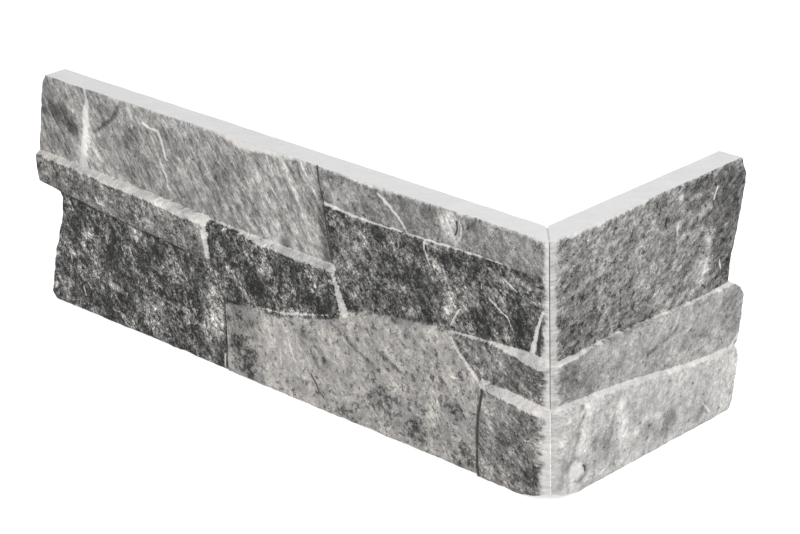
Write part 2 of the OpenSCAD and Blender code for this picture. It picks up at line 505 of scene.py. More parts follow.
        # Pale bands on the stones' edges: rubbed pale body, and on upward-facing ledges also a painted highlight
        wear_and_highlight = np.stack([s.wear_and_highlight(u, v, waver) for s in stones]).max(0)
        pale = np.clip(0.5 + wear_and_highlight / 3.0, 0, 0.6 + 0.04 * rough(u, v, 7.0, self.seed + 12))
        dark = np.zeros_like(u)
        seen_u = u + (depth - self.body) + 0.35 * rough(u, v, 3.0, self.seed + 20)
        seen_v = v - 0.6 * (depth - self.body) + 0.35 * rough(u, v, 3.0, self.seed + 21)
        for mark in self.marks():
            near = distance(mark.path, mark.widths, seen_u, seen_v)
            field = np.clip(1 - near / 2, 0, 1)
            if mark.ink is Ink.PALE:
                pale = np.maximum(pale, mark.strength * field)
            elif mark.ink is Ink.DARK:
                dark = np.maximum(dark, mark.strength * field)
            else:
                fields["tone"] += mark.strength * field**1.5
            depth -= mark.carve * np.clip(1.3 - near, 0, 1)
        for patch in self.patches():
            stray = 1.6 * rough(u, v, 5.0, self.seed + 22)
            share = patch.share(seen_u + stray, seen_v + stray)
            for name in ("tone", "spark", "pepper", "streak"):
                fields[name] += getattr(patch, name) * share
        saw = self.ground + (u - self.start) * self.ground_slope
        saw = saw + 0.05 * rough(u / 6, v, 1.3, self.seed + 30) * np.clip((u - self.start) / 2, 0, 1)
        ragged = 0.9 * rough(u / 4, v, 1.3, self.seed + 32) + 0.6 * rough(u, v, 7.0, self.seed + 33)
        fields["saw"] = np.clip(0.5 + (along(self.strip(), v) + ragged - seen_u) / 7.5, 0, 1)
        crumbs = 0.7 * rough(u, v, 9.0, self.seed + 31) + 0.3 * rough(u, v, 1.8, self.seed + 34)
        fields["rim"] = np.clip(0.35 + (along(self.bare(), u) * (1 + 0.2 * crumbs) - (self.height - v)) / 4.4, 0, 1)
        fields["pale"] = pale
        fields["dark"] = dark
        depth = np.minimum(depth, saw) - 0.35 * np.exp((v - self.height) / 0.8) - 0.35 * np.exp(-v / 0.8)
        return depth, fields

    def even_face(self, u: Array, v: Array) -> tuple[Array, dict[str, Array]]:
        """The face averaged over nine places round each point, so that slanting joints stay straight.

        Args:
            u: Distance along the leg.
            v: Height.

        Returns:
            The depth from the back and the fields by name.
        """
        stray = (-0.36 * self.pitch, 0.0, 0.36 * self.pitch)
        faces = [self.face(u + a, v + b) for a in stray for b in stray]
        depth = sum(face[0] for face in faces) / 9
        return depth, {name: sum(face[1][name] for face in faces) / 9 for name in faces[0][1]}

    def mesh(self) -> tuple[Array, list[Array], dict[str, Array]]:
        """The closed surface: the stone face, rings down its four sides and one flat back.

        Returns:
            Points in metres, polygons of point numbers that face outwards, and the fields by name.
        """
        flat_u, flat_v = np.meshgrid(self.columns(), self.rows(), indexing="ij")
        m, n = flat_u.shape
        u, v = self.place(flat_u, flat_v, self.ground)
        depth, fields = self.even_face(u, v)
        number = np.arange(m * n).reshape(m, n)
        rim = np.concatenate([number[:-1, 0], number[-1, :-1], number[:0:-1, -1], number[0, :0:-1]])
        rim_u, rim_v, rim_depth = flat_u.ravel()[rim], flat_v.ravel()[rim], depth.ravel()[rim]
        places = [np.stack([u.ravel(), depth.ravel(), v.ravel()], 1)]
        quads = [
            np.stack([number[:-1, :-1], number[1:, :-1], number[1:, 1:], number[:-1, 1:]], -1).reshape(-1, 4)
        ]
        last = rim
        for k, share in enumerate(self.RINGS):
            ring_u, ring_v = self.place(rim_u, rim_v, self.ground * (1 - share))
            places.append(np.stack([ring_u, rim_depth * (1 - share), ring_v], 1))
            ring = m * n + k * len(rim) + np.arange(len(rim))
            quads.append(np.stack([np.roll(last, -1), last, ring, np.roll(ring, -1)], 1))
            last = ring
        full = {name: np.concatenate([f.ravel(), np.tile(f.ravel()[rim], len(self.RINGS))]) for name, f in fields.items()}
        full["body"] = np.zeros(len(full["tone"]))
        full["body"][m * n :] = 1
        full["body"][rim] = 0.3
        points = np.concatenate(places)
        points = np.c_[points, np.ones(len(points))] @ np.array(self.wall.value, float).T
        low, high = (np.array(corner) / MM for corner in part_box(self.node))
        points = np.clip(points, low, high) * MM
        polygons = [np.concatenate(quads), last[::-1][None]]
        a, b, c = (points[polygons[0][:, k]] for k in (0, 1, 2))
        if np.einsum("ij,ij->", a, np.cross(b, c)) < 0:
            polygons = [p[:, ::-1] for p in polygons]
        return points, polygons, full

    def build(self, material: bpy.types.Material) -> bpy.types.Object:
        """Make the piece, dress it and let it stand for its CAD node.

        Args:
            material: The stone finish.

        Returns:
            The new object.
        """
        points, polygons, fields = self.mesh()
        mesh = bpy.data.meshes.new(self.piece)
        corners = np.concatenate([p.ravel() for p in polygons])
        sizes = np.concatenate([np.full(len(p), p.shape[1]) for p in polygons])
        mesh.vertices.add(len(points))
        mesh.vertices.foreach_set("co", points.ravel().astype(np.float32))
        mesh.loops.add(len(corners))
        mesh.loops.foreach_set("vertex_index", corners.astype(np.int32))
        mesh.polygons.add(len(sizes))
        mesh.polygons.foreach_set("loop_start", np.append(0, np.cumsum(sizes)[:-1]).astype(np.int32))
        mesh.update(calc_edges=True)
        mesh.validate()
        for name in self.FIELDS:
            layer = mesh.attributes.new(name, "FLOAT", "POINT")
            layer.data.foreach_set("value", fields[name].astype(np.float32))
        mesh.shade_smooth()
        mesh.set_sharp_from_angle(angle=math.radians(80))
        mesh.materials.append(material)
        piece = bpy.data.objects.new(self.piece, mesh)
        bpy.context.scene.collection.objects.link(piece)
        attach(piece, "root")
        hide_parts(self.node)
        log.info("%s: %d points, %d polygons", self.piece, len(points), len(sizes))
        return piece


FLOOR: Line = ((0, 0), (1, 0))
HEAD: Line = ((0, 150), (1, 150))
PAST_CORNER: Line = ((0, -5), (1, -5))


@dataclass
class LongLeg(Leg):
    """The long leg with its nine stones."""

    piece: str = "long_leg_stone"
    node: str = "long_leg"
    wall: Wall = Wall.LONG
    reach: float = 420.0
    pitch: float = 0.9
    lean: float = 42.0
    cross: float = 66.0
    seed: int = 100

    TOP_SPLIT: ClassVar[Line] = ((88, 160), (105, 161.5), (115, 162.5), (130, 164.5), (140, 167.5), (150, 168.5))
    DARK_SPLIT: ClassVar[Line] = ((66, 156), (88, 161), (105, 162.5), (115, 163.5), (132, 166))
    SLAB_SPLIT: ClassVar[Line] = ((44, 251), (52, 256), (66, 262), (95, 263.5))
    SLAB_END: ClassVar[Line] = ((62, 152), (92, 159))
    LOW_SPLIT: ClassVar[Line] = ((0, 253), (12, 252), (44, 252))
    CORNER_SPLIT: ClassVar[Line] = ((57, 51), (63, 59), (70, 65), (76, 69), (82, 72))
    LOW_END: ClassVar[Line] = ((0, 52.5), (25, 52.5), (40, 51), (58, 49))
    WIDE_END: ClassVar[Line] = ((0, 52.5), (25, 52.5), (40, 51), (56, 49.5), (63, 58.5), (70, 65), (76, 69), (81, 72))
    LEDGE: ClassVar[Line] = ((260, 95), (330, 97.4), (424, 99))
    NEAR_LEDGE: ClassVar[Line] = ((150, 93.4), (275, 94.2))
    LEDGE_LINE: ClassVar[Line] = ((150, 93), (260, 94), (330, 97), (424, 98.6))
    SLAB_FOOT: ClassVar[Line] = ((262, 67.5), (300, 70.2), (352, 72.7), (380, 75.2), (424, 78.5))
    TOP_JOINT: ClassVar[Line] = ((0, 129), (30, 129.5), (60, 129), (100, 128), (130, 127.5), (165, 129))
    WIDE_HEAD: ClassVar[Line] = (
        (48, 80), (72, 79.5), (90, 78.5), (130, 72), (150, 68.5), (165, 62), (200, 53), (252, 46),
    )
    DARK_FOOT: ClassVar[Line] = (
        (0, 84), (20, 84), (50, 81.5), (72, 79.5), (90, 78.5), (130, 72), (150, 68.5), (165, 62),
    )
    CORNER_LEDGE: ClassVar[Line] = ((0, 84), (20, 84), (50, 81.5), (75, 79))
    LOW_LEDGE: ClassVar[Line] = ((0, 56.5), (50, 58.5))

    def teeth(self) -> Line:
        """The toothed end, as (height, distance back from the longest reach)."""
        return (
            (0, 7), (4, 4), (15, 6), (32, 10), (48, 15), (60, 20), (72, 21), (75.5, 19),
            (78.5, 2), (86, 1), (95, 1.5), (108, 2.5), (120, 5.5), (130, 7.5), (140, 9.5), (150, 13.5),
        )

    def strip(self) -> Line:
        """How far the bare ground strip shows from the corner, as (height, width on the mean face)."""
        return (0, 8.2), (50, 7.8), (56, 6), (78, 5.6), (88, 4), (150, 4)

    def bare(self) -> Line:
        """How far the bare body shows below the top edge, as (distance from the corner, depth)."""
        return (
            (0, 2), (25, 1), (60, 1), (100, 1.5), (130, 2.6), (155, 1.2), (168, 0.6), (182, 1), (200, 3), (216, 5),
            (232, 5), (246, 2), (262, 1), (300, 0.8), (345, 0.6), (400, 0.2), (424, 0),
        )

    def stones(self) -> tuple[Stone, ...]:
        """The nine stones, from the top left to the corner."""
        tuck, chip, ledge = Edge.TUCK, Edge.CHIP, Edge.LEDGE
        end = ((0, self.reach), (1, self.reach))
        return (
            Stone("pale head", self.TOP_SPLIT, end, self.LEDGE_LINE, HEAD, (tuck, tuck, tuck, tuck),
                  (-1, -1, -0.5, 0),
                  StoneLook(0.51, warm=0.25, fine=0.038, blotch=0.022, streak=0.05, flake=0.014, spark=0.08, hewn=0.4)),
            Stone("brown head", PAST_CORNER, self.TOP_SPLIT, self.TOP_JOINT, HEAD, (tuck, chip, tuck, tuck),
                  (-0.5, 0.6, -0.5, 0.6),
                  StoneLook(0.435, warm=0.15, fine=0.05, blotch=0.018, streak=0.018, flake=0.02, spark=0.12,
                            pepper=0.05, hewn=0.45)),
            Stone("dark band", PAST_CORNER, self.DARK_SPLIT, self.DARK_FOOT, self.TOP_JOINT, (tuck, chip, tuck, chip),
                  (-0.5, -2.5, -0.2, 1.5),
                  StoneLook(0.3, warm=0.3, fine=0.09, blotch=0.04, streak=0.02, flake=0.04, spark=0.36, pepper=0.3,
                            hewn=0.6)),
            Stone("slab", self.SLAB_SPLIT, end, self.SLAB_FOOT, self.LEDGE, (chip, tuck, chip, ledge),
                  (3, 1.5, 4, 3),
                  StoneLook(0.385, warm=0.3, fine=0.075, blotch=0.03, flake=0.04, spark=0.28, pepper=0.25),
                  ((), (), (), ((262, 4.6), (280, 4.8), (310, 4.2), (350, 3.8), (380, 2.6), (424, 2.2)))),
            Stone("dark slab", self.SLAB_END, self.SLAB_SPLIT, self.WIDE_HEAD, self.NEAR_LEDGE,
                  (ledge, tuck, tuck, ledge), (1.5, 0.3, 2.5, 1.3),
                  StoneLook(0.3, warm=0.3, fine=0.105, blotch=0.05, flake=0.068, spark=0.38, pepper=0.3, hewn=0.6),
                  ((), (), (), ((156, 3.8), (180, 3.8), (205, 4.0), (222, 3.2), (236, 1.2), (262, 0.6)))),
            Stone("dark foot", self.LOW_SPLIT, end, FLOOR, self.SLAB_FOOT, (tuck, tuck, tuck, tuck),
                  (-0.6, 0, -0.4, -0.5),
                  StoneLook(0.28, warm=0.3, fine=0.105, blotch=0.055, flake=0.068, spark=0.38, pepper=0.3, hewn=0.7)),
            Stone("wide foot", self.WIDE_END, self.LOW_SPLIT, FLOOR, self.WIDE_HEAD, (chip, chip, tuck, chip),
                  (0, 0.5, 0.3, 0.8),
                  StoneLook(0.545, warm=0.5, fine=0.04, blotch=0.03, streak=0.01, flake=0.018, spark=0.02, pepper=0.44,
                            hewn=0.45),
                  ((), (), (), ((150, -2), (158, -2), (163, 0.1), (200, 0.5), (222, 0.5), (232, -2), (252, -2)))),
            Stone("corner block", PAST_CORNER, self.CORNER_SPLIT, self.LOW_LEDGE, self.CORNER_LEDGE,
                  (tuck, tuck, tuck, ledge), (1, -1, 2.2, -0.3),
                  StoneLook(0.37, warm=0.3, fine=0.065, blotch=0.03, cross=0.025, flake=0.03, spark=0.25, pepper=0.15),
                  ((), (), (), ((0, 7.6), (8, 6.8), (18, 5.2), (30, 2.9), (42, 1.3), (58, 1.0), (68, 0.8), (74, 0.5)))),
            Stone("corner foot", PAST_CORNER, self.LOW_END, FLOOR, self.LOW_LEDGE, (tuck, chip, tuck, ledge),
                  (1.2, 2, 3.5, 3),
                  StoneLook(0.42, warm=0.3, fine=0.055, blotch=0.03, cross=0.045, flake=0.025, spark=0.2, pepper=0.15),
                  ((), (), (), ((0, 7.5), (8, 6.2), (20, 5.2), (35, 4.4), (46, 3.4), (52, 2.2)))),
        )

    def marks(self) -> tuple[Mark, ...]:
        """Veins, cracks and dark joints, with painted shadow lines and shade beside joints, and painted highlights on
        stone ends and ledges.
        """
        pale, dark, soft = Ink.PALE, Ink.DARK, Ink.SOFT
        return (
            # The pale head's tapering vein, its thin veins, its smudge and its bright layers
            Mark(pale, ((368.6, 149), (366.4, 143), (368.8, 134), (369.1, 128), (371.3, 119)), (0.8, 1.1, 2.6, 2.4, 2.2)),
            Mark(pale, ((371.3, 119), (373.5, 108), (375, 98.5)), (2.2, 2.8, 3.2)),
            Mark(soft, ((368, 136), (370, 122), (374, 109), (374, 99)), (3.5, 5, 7, 8), 0.18),
            Mark(soft, ((367, 122), (362, 111), (360, 103)), (1.6, 2, 2), 0.14),
            Mark(pale, ((315.7, 140.6), (309, 138.2), (302.5, 138.3), (299.7, 133.5), (298.7, 127.5), (296.4, 122),
                        (291.2, 117.7), (287.5, 110), (284, 100.8), (283.5, 97)), (0.8, 0.7, 1.0, 0.9, 0.8, 0.7), 1.0),
            Mark(pale, ((305.8, 127.4), (304, 122.8), (301.2, 117.6), (297.3, 112.3), (295.9, 103)), (0.5,), 0.9),
            Mark(soft, ((329.5, 148), (327.4, 141), (326, 136)), (1.6,), 0.16),
            Mark(soft, ((336, 147), (342, 138.5), (351, 131), (361, 124)), (1.4, 1.4, 1.2, 1.0), -0.24),
            Mark(soft, ((337, 132), (324, 123), (316, 111), (306, 99)), (3.5,), -0.07),
            Mark(soft, ((224, 144), (216, 128), (205, 115), (201, 100)), (2.2,), 0.13),
            Mark(soft, ((209.5, 146), (202, 132), (194, 118), (188, 100)), (2.2,), 0.15),
            Mark(soft, ((198, 148), (187, 130), (180, 113), (176, 98)), (2.0,), 0.13),
            Mark(soft, ((182, 150), (174, 137), (166, 126)), (2.0,), 0.19),
            Mark(soft, ((213, 113), (208, 104), (206, 92)), (5.0,), 0.12),
            Mark(pale, ((209.5, 145), (204, 134), (198, 122)), (0.5,), 0.8),
            Mark(pale, ((188, 132), (181, 116), (176, 104)), (0.5,), 0.8),
            Mark(pale, ((179, 146), (172, 134), (167, 126)), (0.5,), 0.85),
            # The shadowed joint between the two head stones
            Mark(dark, ((169, 150), (168, 140), (165, 130), (163.5, 115), (162, 105), (160, 94)), (0.7,), 0.9, 0.6),
            Mark(soft, ((167, 132), (165.5, 112), (163, 94)), (3.5,), -0.2),
            # The bright chipped joint between the brown head and the dark band, its upward-facing edge also painted
            # light as a highlight
            Mark(pale, ((164, 129.2), (150, 128), (130, 127.4), (100, 128), (60, 129), (32, 129.5)),
                 (1.1, 0.8, 0.6, 0.6, 0.5, 0.4), 0.95),
            # Veins of the brown head and the dark band
            Mark(pale, ((122.7, 145.7), (114.6, 141), (106.6, 135), (101, 129)), (0.7, 1.0, 0.9, 0.4), 0.95),
            Mark(pale, ((72, 144.6), (69, 139.7), (66.5, 135)), (0.9, 0.8, 0.5), 0.8),
            Mark(pale, ((65.5, 147.5), (66.8, 144), (64.5, 141)), (0.4,), 0.75),
            Mark(pale, ((62.6, 147), (61, 142), (61.5, 137), (66, 131)), (0.5, 0.7, 0.7, 0.5), 0.8),
            Mark(dark, ((64.6, 144.5), (64.2, 140), (65.7, 137)), (0.8,), 0.95, 0.3),
            Mark(pale, ((88.8, 126), (88.6, 122), (86.5, 118.4), (84, 112.8)), (0.7, 0.5, 0.5, 0.4), 0.9),
            Mark(pale, ((42, 107), (35, 103), (29, 100), (26, 94)), (0.6, 0.7, 0.7, 0.4), 0.9),
            Mark(pale, ((48, 116), (47, 111)), (0.5,), 0.85),
            Mark(pale, ((33, 122), (26, 118), (22, 116)), (0.6,), 0.85),
            Mark(soft, ((54, 124), (41, 125)), (0.8,), 0.12),
            Mark(pale, ((20, 138), (13, 134)), (0.5,), 0.8),
            Mark(soft, ((25, 124), (14, 121), (5, 122)), (0.9,), 0.16),
            Mark(soft, ((18, 116), (9, 113), (4, 115)), (0.9,), 0.16),
            Mark(pale, ((69, 86), (66, 91), (63, 95)), (0.6,), 0.9),
            Mark(soft, ((74, 92), (69, 88), (66, 84)), (0.9,), 0.16),
            Mark(soft, ((47, 114), (24, 116), (3, 118)), (0.7,), -0.12),
            Mark(pale, ((5, 110), (9, 98), (12, 86)), (0.7, 1.2, 1.7), 0.95),
            Mark(pale, ((4, 98), (2, 90)), (0.6,), 0.9),
            Mark(dark, ((6, 101), (7.5, 93), (8, 87)), (0.5, 1.3, 1.6), 0.8),
            # Pale rubbed ends of the slabs, also painted light as highlight where they face the light; the joints under
            # and between them, with painted shadow under the slab and above the dark slab's ledge
            Mark(pale, ((160.5, 91.5), (158, 83), (155.3, 75), (152, 67)), (0.9, 1.5, 2.2, 3.1)),
            Mark(pale, ((267.4, 93.5), (266, 81), (264.4, 69)), (2.4, 2.0, 1.7), 0.95),
            Mark(soft, ((270, 91), (268, 80), (267, 70)), (3.5,), 0.12),
            Mark(pale, ((365, 81), (363, 78), (357, 77)), (0.6,), 0.9),
            Mark(pale, ((384, 17), (382, 11)), (0.7,), 0.9),
            # Painted shadow under the overhanging slab, along a shallow carved joint
            Mark(dark, ((264, 65.5), (300, 69), (352, 71.5), (380, 74), (421, 77)), (0.6,), 0.75, 0.3),
            Mark(dark, ((262, 93), (262, 65), (256, 52), (252, 44), (252, 12)), (0.6,), 0.85, 0.3),
            Mark(pale, ((254, 10), (254.5, 0)), (0.7,), 0.95),
            # Painted shadow line above the dark slab's ledge
            Mark(dark, ((246, 90.5), (232, 90.5), (215, 91)), (0.5,), 0.6),
            # Wide foot
            Mark(soft, ((252, 45), (240, 46.2), (228, 46.6)), (0.9,), -0.16),
            Mark(pale, ((69, 75), (65, 69), (58.8, 64), (54, 59.5), (51, 56.5)), (0.7, 1.1, 1.3, 1.3, 1.0)),
            Mark(pale, ((73, 53.3), (65.6, 53.3)), (0.6,), 0.85),
            Mark(pale, ((199, 37), (197, 32), (194, 25)), (0.6,), 0.9),
            Mark(pale, ((182.5, 39), (181, 33)), (0.5,), 0.85),
            Mark(pale, ((206, 26), (205, 17)), (0.6,), 0.8),
            Mark(soft, ((178.6, 31.5), (174, 26)), (1.0,), -0.2),
            Mark(dark, ((181, 20), (177, 15), (175, 11), (171, 8)), (0.7, 0.7, 0.6, 0.5), 1.0, 0.3),
            Mark(soft, ((163, 58), (154, 53), (142, 46), (131, 42)), (0.9,), -0.2),
            Mark(soft, ((127.5, 51.5), (115.3, 46.7), (109, 43.8)), (0.9,), -0.2),
            # Joint of the corner foot, and light scratches of the corner block
            # Carved joint of the corner foot, painted dark also as the shadow beside the prouder corner foot
            Mark(dark, ((48.5, 57), (49, 49), (51, 40), (52.5, 30), (53, 20), (53, 5), (52, 0)), (0.9,), 0.95, 0.5),
            Mark(soft, ((56.6, 65), (48, 62)), (1.0,), 0.14),
            Mark(soft, ((67, 78), (60, 75), (56, 70)), (2.0,), 0.12),
            # The open seam, painted dark as the shade in its gap
            Mark(dark, ((0.4, 142), (0.4, 81)), (0.35,), 0.52),
        )

    def patches(self) -> tuple[Patch, ...]:
        """Where the stones change tone or turn speckled."""
        return (
            # Pale head
            Patch((391, 128), (9, 7), -0.17), Patch((383, 122), (6, 5), -0.15), Patch((408, 133), (10, 12), -0.05), Patch((398, 110), (12, 8), -0.02),
            Patch((300, 118), (40, 26), -0.03), Patch((245, 122), (30, 22), -0.03, streak=0.01),
            Patch((196, 122), (34, 28), -0.03, streak=0.014, lean=40), Patch((350, 108), (12, 9), 0.04),
            Patch((404, 124), (30, 30), -0.07),
            # Brown head
            Patch((150, 139), (13, 8), 0.11), Patch((106, 140), (14, 8), -0.02), Patch((70, 142), (7, 9), 0.2),
            Patch((66, 134), (7, 5), 0.14), Patch((41, 145), (6, 6), 0.08), Patch((54, 143), (5, 7), -0.05),
            Patch((20, 142), (12, 7), 0.06), Patch((125, 134), (10, 5), -0.03), Patch((88, 136), (10, 8), -0.02),
            # Dark band
            Patch((143, 113), (12, 9), 0.1, 0.05, -0.15), Patch((150, 97), (11, 9), 0.08, 0.1, -0.15),
            Patch((120, 112), (9, 8), 0.04, 0, -0.1), Patch((100, 102), (13, 9), -0.08), Patch((89, 84), (9, 7), -0.12),
            Patch((70, 121), (14, 5), -0.08), Patch((48, 127), (14, 4), -0.07), Patch((21, 101), (9, 11), -0.1),
            Patch((123, 85), (12, 5), -0.08), Patch((49, 91), (9, 8), -0.06), Patch((71, 92), (6, 8), 0.15, 0.1, -0.2),
            Patch((38, 110), (6, 4), 0.07, 0.1), Patch((28, 94), (5, 6), 0.09, 0.1), Patch((79, 112), (9, 6), 0.07, 0.1),
            Patch((60, 103), (9, 6), 0.05, 0.1), Patch((97, 82), (5, 5), 0.16, 0, -0.2), Patch((20, 122), (16, 5), 0.1),
            Patch((14, 115), (10, 5), 0.08), Patch((40, 119), (9, 4), 0.05),
            # Slab and dark slab
            Patch((300, 83), (24, 8), 0.03), Patch((360, 82), (30, 7), 0.0, 0.1), Patch((396, 90), (20, 6), -0.05),
            Patch((225, 63), (11, 9), -0.1), Patch((180, 67), (12, 6), -0.1), Patch((247, 80), (8, 7), -0.05),
            Patch((211, 77), (11, 6), 0.09, 0.1, -0.2), Patch((187, 88), (10, 4), 0.04), Patch((240, 64), (8, 8), 0.05),
            Patch((196, 70), (8, 6), -0.03), Patch((168, 84), (6, 7), 0.05),
            # Dark foot
            Patch((378, 62), (18, 9), -0.07), Patch((329, 58), (10, 4), -0.08), Patch((313, 37), (7, 6), -0.1),
            Patch((299, 37), (13, 7), -0.11), Patch((279, 33), (6, 9), -0.09), Patch((372, 52), (8, 8), -0.04),
            Patch((319, 22), (9, 9), 0.1, 0.1), Patch((329, 40), (9, 8), 0.06, 0.1), Patch((266, 47), (9, 7), 0.15, -0.3),
            Patch((262, 36), (8, 9), 0.13, -0.3), Patch((351, 41), (9, 8), 0.05), Patch((403, 18), (8, 14), 0.07, 0.1),
            Patch((381, 38), (7, 6), 0.05), Patch((336, 69), (8, 4), 0.1), Patch((308, 13), (9, 6), 0.05, 0.1),
            Patch((289, 52), (9, 6), 0.05, 0.1), Patch((264, 20), (12, 18), 0.17, -0.35, -0.4), Patch((290, 12), (9, 9), -0.03),
            Patch((345, 16), (10, 7), -0.03),
            # Wide foot: dark clusters and its calm side
            Patch((246, 20), (6, 5), -0.17, 0, 0.6), Patch((236, 13), (13, 12), -0.1, 0, 0.6),
            Patch((240, 36), (14, 11), -0.11, 0.1, 0.1), Patch((126, 21), (20, 10), -0.03, 0, 0.45, 20),
            Patch((98, 12), (16, 8), -0.06, 0, 0.55, 10), Patch((68, 34), (7, 6), -0.08, 0, 0.6),
            Patch((61, 8), (9, 8), -0.08, 0, 0.6), Patch((156, 5), (10, 5), -0.03, 0, 0.4),
            Patch((85, 46), (14, 9), 0.0, 0, 0.2), Patch((203, 26), (20, 20), 0.04, 0, -0.4),
            Patch((150, 36), (18, 14), 0.01, 0, -0.3),
            # Corner block and corner foot
            Patch((42, 71), (12, 9), 0.05), Patch((20, 67), (11, 8), -0.04), Patch((40, 42), (11, 12), 0.06),
            Patch((30, 28), (10, 9), -0.05), Patch((15, 12), (10, 11), -0.12), Patch((38, 13), (12, 9), -0.03),
            Patch((20, 44), (9, 9), -0.04), Patch((44, 24), (8, 8), 0.04),
        )


@dataclass
class ShortLeg(Leg):
    """The short leg with its three stones."""

    piece: str = "short_leg_stone"
    node: str = "short_leg"
    wall: Wall = Wall.SHORT
    reach: float = 163.0
    pitch: float = 0.65
    lean: float = 68.0
    cross: float = 8.0
    seed: int = 200

    TOP_JOINT: ClassVar[Line] = ((0, 81), (50, 81.8), (80, 80.3), (120, 78.3), (165, 79.5))
    LEDGE: ClassVar[Line] = ((0, 56.5), (30, 54), (50, 52), (70, 49.5), (110, 43), (130, 41), (160, 39.5))

    def teeth(self) -> Line:
        """The toothed end, as (height, distance back from the longest reach)."""
        return (
            (0, 12), (5, 9), (15, 8), (22, 6), (32, 5), (38, 7), (41, 5), (46, 3), (60, 1), (68, 0),
            (73, 3), (80, 13), (90, 12), (98, 10), (110, 6), (122, 3), (135, 0), (140, 0), (150, 3),
        )

    def strip(self) -> Line:
        """How far the bare ground strip shows from the corner, as (height, width on the mean face)."""
        return (0, 6.4), (78, 6.2), (88, 5.6), (150, 5.8)

    def bare(self) -> Line:
        """How far the bare body shows below the top edge, as (distance from the corner, depth)."""
        return (0, 1.5), (10, 2), (22, 3), (50, 3.2), (75, 2.2), (92, 0.8), (115, 0.5), (163, 0)

    def stones(self) -> tuple[Stone, ...]:
        """The three stones, from the top down."""
        tuck, chip, ledge = Edge.TUCK, Edge.CHIP, Edge.LEDGE
        end = ((0, self.reach), (1, self.reach))
        return (
            Stone("speckled head", PAST_CORNER, end, self.TOP_JOINT, HEAD, (tuck, tuck, tuck, tuck),
                  (-0.5, -0.3, -0.5, 0),
                  StoneLook(0.445, warm=0.1, fine=0.048, blotch=0.022, streak=0.052, flake=0.025, spark=0.1, pepper=0.34, hewn=0.45)),
            Stone("middle band", PAST_CORNER, end, self.LEDGE, self.TOP_JOINT, (tuck, tuck, tuck, chip),
                  (1, 0.5, 2.2, 1),
                  StoneLook(0.54, warm=0.1, fine=0.045, blotch=0.02, streak=0.01, flake=0.012, hewn=0.4),
                  ((), (), (), ((0, 2.4), (10, 1.8), (30, 0.5), (50, 0.0), (90, 0.1), (125, 0.5), (150, 1.6), (163, 2.2)))),
            Stone("pale foot", PAST_CORNER, end, FLOOR, self.LEDGE, (tuck, tuck, tuck, ledge),
                  (1.2, 0.9, 3.5, 2),
                  StoneLook(0.63, warm=0.05, fine=0.038, blotch=0.028, cross=0.012, flake=0.01, hewn=0.4),
                  ((), (), (), ((0, 2.8), (20, 1.8), (40, 2.8), (60, 2.6), (100, 2.2), (163, 1.8)))),
        )

    def marks(self) -> tuple[Mark, ...]:
        """Veins, pits and dark hollows, and the open seam painted dark as its shade."""
        pale, dark, soft = Ink.PALE, Ink.DARK, Ink.SOFT
        return (
            # The round pale spot of the foot, its pit and the creases above them
            Mark(soft, ((19.2, 13), (19.6, 12.6)), (4.2,), 0.3),
            Mark(pale, ((19.2, 13), (19.6, 12.6)), (4.0,), 1.0, -0.3),
            Mark(dark, ((19.4, 13.2), (19.6, 12.8)), (0.45,), 0.75),
            Mark(dark, ((26.2, 14), (27.5, 12.5), (27.4, 10.4)), (0.8, 1.1, 0.9), 0.75, 0.6),
            Mark(soft, ((13, 17), (19, 20.5), (25, 17.5), (29, 13), (28, 8), (22, 5.5)), (1.4,), -0.14),
            Mark(soft, ((24.3, 49.5), (27, 46), (25, 41), (22, 38)), (1.3,), -0.2),
            Mark(soft, ((28.5, 49), (26, 46)), (1.4,), 0.12),
            Mark(soft, ((22.5, 34), (19, 28), (17, 22)), (1.4,), -0.12),
            Mark(soft, ((26, 34), (25, 28), (23, 23)), (2.0,), 0.06),
            Mark(soft, ((36, 25), (35, 20)), (1.2,), -0.12),
            Mark(soft, ((57, 40), (58, 30), (61, 20), (61, 6)), (2.5, 3, 3, 3.5), 0.08),
            Mark(soft, ((52, 34), (49, 24)), (1.5,), -0.1),
            Mark(dark, ((127, 10), (133, 4.5)), (0.4,), 0.7),
            Mark(pale, ((127.5, 13.5), (131, 9), (134.5, 5.4)), (0.6,), 0.85),
            # Middle band
            Mark(soft, ((83.8, 60.3), (79.5, 60.6)), (1.2,), -0.22),
            Mark(soft, ((84, 61), (95, 63), (104, 67)), (1.1,), -0.14),
            Mark(soft, ((106, 75), (102, 69), (97.5, 63), (93, 59)), (0.9,), 0.14),
            Mark(pale, ((160, 45), (156, 42), (153, 39)), (0.9,), 0.85),
            # Speckled head
            Mark(pale, ((137.8, 139.5), (136, 136), (134.5, 133)), (0.7,), 0.95),
            Mark(pale, ((103.6, 127), (103, 122)), (0.7,), 0.85),
            Mark(soft, ((106, 143), (108, 135), (104, 127), (104, 112), (100, 104)), (1.6,), 0.12),
            Mark(soft, ((132, 110), (130, 100), (127, 93), (124, 87)), (1.6, 2.5, 3, 3), 0.16),
            Mark(soft, ((114, 131), (121, 128), (130, 130)), (2.0,), 0.12),
            Mark(soft, ((110, 120), (118, 117), (128, 118), (132, 112)), (2.6,), 0.12),
            Mark(pale, ((141, 95), (142, 90)), (0.7,), 0.85),
            Mark(pale, ((115, 84), (118, 81)), (0.5,), 0.8),
            # The open seam, painted dark as the shade in its gap
            Mark(dark, ((0.4, 142), (0.4, 81)), (0.35,), 0.6),
        )

